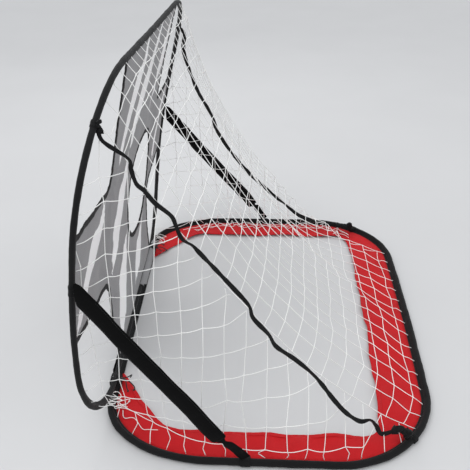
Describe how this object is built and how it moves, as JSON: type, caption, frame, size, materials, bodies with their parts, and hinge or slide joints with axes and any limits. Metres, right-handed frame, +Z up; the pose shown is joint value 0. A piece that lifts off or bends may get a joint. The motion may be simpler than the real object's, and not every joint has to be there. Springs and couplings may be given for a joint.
{
  "type": "folding soccer goal",
  "caption": "Pop-up folding soccer goal with a bowed target sheet, red ground border, white net and two fabric side struts",
  "frame": {"origin": "centre of the goal's footprint on the ground, under the middle of the overall size", "axes": "+X along the goal's width toward the side nearer the camera, +Y from the mouth to the back of the net, +Z up"},
  "size_m": [1.2468, 0.8902, 0.897],
  "materials": {
    "ground_sleeve": "matte",
    "upright_sleeve": "matte",
    "spring_wire": "satin",
    "wire_ferrule": "satin",
    "black_webbing": "matte",
    "edge_binding": "matte",
    "grey_sheet": "matte",
    "red_border": "matte",
    "white_net": "matte",
    "strut_sleeve": "matte",
    "strut_pole": "satin"
  },
  "bodies": {
    "base": {"base_hoop_sleeve": "ground_sleeve", "base_hoop_wire": "spring_wire", "base_hoop_ferrule": "wire_ferrule", "hinge_strip": "black_webbing", "hinge_tie_right": "black_webbing", "hinge_tie_left": "black_webbing", "ground_border": "red_border", "strut_base_cuff_right": "black_webbing", "strut_base_cuff_left": "black_webbing", "net_side_right": "white_net", "net_side_left": "white_net", "net_back": "white_net", "strap_right": "black_webbing", "strap_base_knot_right": "black_webbing", "strap_left": "black_webbing", "strap_base_knot_left": "black_webbing"},
    "upright": {"upright_hoop_sleeve": "upright_sleeve", "upright_hoop_wire": "spring_wire", "upright_hoop_ferrule": "wire_ferrule", "target_panel": "grey_sheet", "binding_top_right": "edge_binding", "binding_bottom_right": "edge_binding", "binding_top_left": "edge_binding", "binding_bottom_left": "edge_binding", "binding_centre": "edge_binding", "strut_top_cuff_right": "black_webbing", "strut_top_cuff_left": "black_webbing", "strap_top_knot_right": "black_webbing", "strap_top_knot_left": "black_webbing"},
    "strut_upper_right": {"strut_sleeve_upper_right": "strut_sleeve", "strut_pole_upper_right": "strut_pole"},
    "strut_lower_right": {"strut_sleeve_lower_right": "strut_sleeve", "strut_pole_lower_right": "strut_pole", "strut_tail_right": "black_webbing"},
    "strut_upper_left": {"strut_sleeve_upper_left": "strut_sleeve", "strut_pole_upper_left": "strut_pole"},
    "strut_lower_left": {"strut_sleeve_lower_left": "strut_sleeve", "strut_pole_lower_left": "strut_pole", "strut_tail_left": "black_webbing"}
  },
  "joints": [
    {"name": "fold", "type": "hinge", "parent": "base", "child": "upright", "pos_m": [0, -0.41895, 0.0278], "axis": [-0.9996, -0.0288, 0], "range_deg": [0, 79], "deforming": ["net_back", "net_side_left", "net_side_right", "strap_left", "strap_right"]},
    {"name": "strut_swing_right", "type": "hinge", "parent": "upright", "child": "strut_upper_right", "pos_m": [0.6182, -0.39367, 0.514], "axis": [-0.9996, -0.0288, 0], "range_deg": [-140, 0]},
    {"name": "strut_elbow_right", "type": "hinge", "parent": "strut_upper_right", "child": "strut_lower_right", "pos_m": [0.624, -0.24788, 0.30845], "axis": [0, 0.8157, 0.5785], "range_deg": [-182, 0]},
    {"name": "strut_swing_left", "type": "hinge", "parent": "upright", "child": "strut_upper_left", "pos_m": [-0.6182, -0.39467, 0.46], "axis": [-0.9996, -0.0288, 0], "range_deg": [-140, 0]},
    {"name": "strut_elbow_left", "type": "hinge", "parent": "strut_upper_left", "child": "strut_lower_left", "pos_m": [-0.624, -0.2312, 0.26821], "axis": [0, -0.7611, -0.6487], "range_deg": [-182, 0]}
  ],
  "couplings": [
    {"joint": "strut_swing_right", "follows": "fold", "ratio": -1.73},
    {"joint": "strut_elbow_right", "follows": "fold", "ratio": -2.28},
    {"joint": "strut_swing_left", "follows": "fold", "ratio": -1.73},
    {"joint": "strut_elbow_left", "follows": "fold", "ratio": -2.28}
  ]
}
